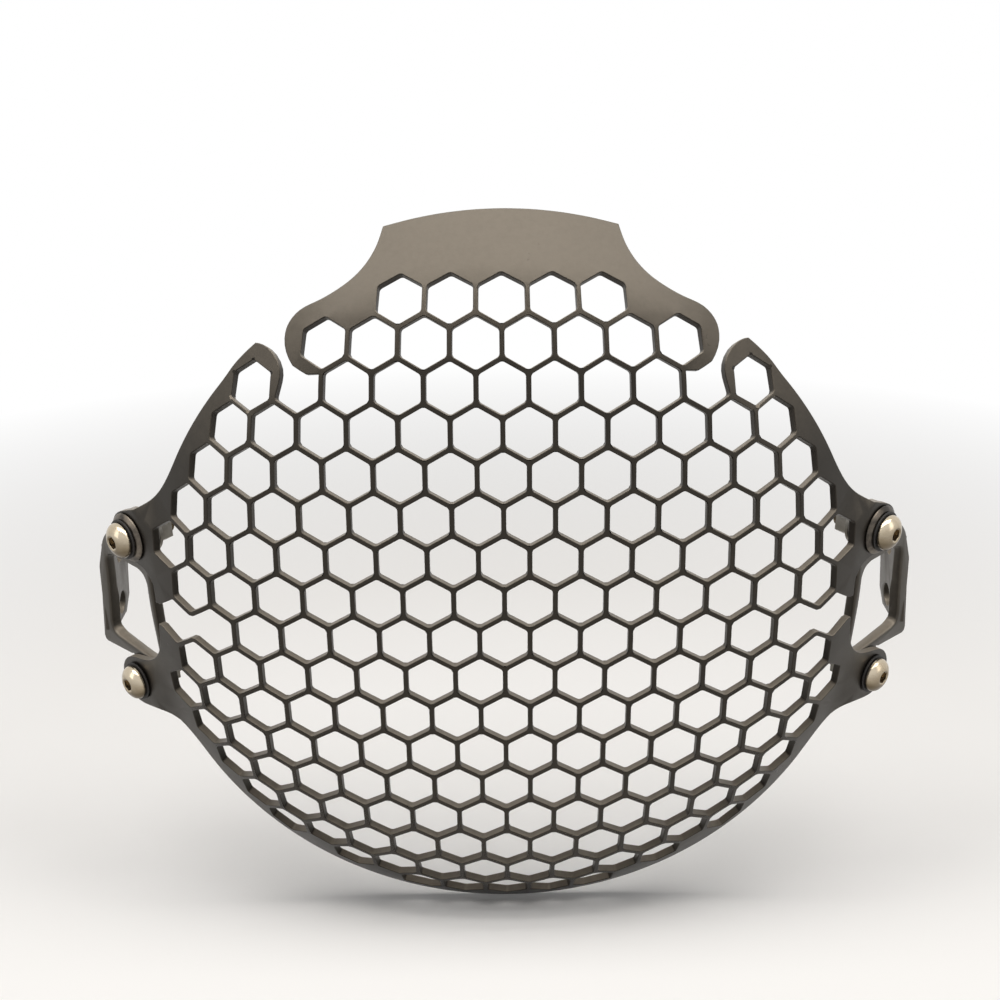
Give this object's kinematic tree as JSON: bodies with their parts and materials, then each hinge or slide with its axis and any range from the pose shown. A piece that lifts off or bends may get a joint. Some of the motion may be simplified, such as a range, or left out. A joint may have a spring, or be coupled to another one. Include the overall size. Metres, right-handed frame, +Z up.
{
  "type": "motorcycle headlight guard",
  "caption": "Domed honeycomb guard of pressed black sheet metal for a round motorcycle headlight, screwed at its ears to two side brackets with rear flanges.",
  "frame": {"origin": "on the headlight's axis, in the plane of the rear ends of the two bracket flanges", "axes": "+Y along the headlight's axis towards the motorcycle, +Z up, +X to the right as seen from the front"},
  "size_m": [0.2262, 0.06, 0.1939],
  "materials": {
    "black_powder_coat": "satin black powder coat",
    "bracket_coat": "satin black coat",
    "collar_black_anodised": "black anodised",
    "washer_black": "matt black oxide",
    "stainless_steel": "bright stainless",
    "zinc_plated_steel": "zinc plated"
  },
  "bodies": {
    "root": {"bracket_left": "bracket_coat", "bracket_right": "bracket_coat", "collar_left": "collar_black_anodised", "collar_right": "collar_black_anodised", "guard_mesh": "black_powder_coat", "nut_lower_left": "zinc_plated_steel", "nut_lower_right": "zinc_plated_steel", "nut_upper_left": "zinc_plated_steel", "nut_upper_right": "zinc_plated_steel", "screw_lower_left": "stainless_steel", "screw_lower_right": "stainless_steel", "screw_upper_left": "stainless_steel", "screw_upper_right": "stainless_steel", "washer_lower_left": "washer_black", "washer_lower_right": "washer_black", "washer_upper_left": "washer_black", "washer_upper_right": "washer_black"}
  },
  "joints": []
}
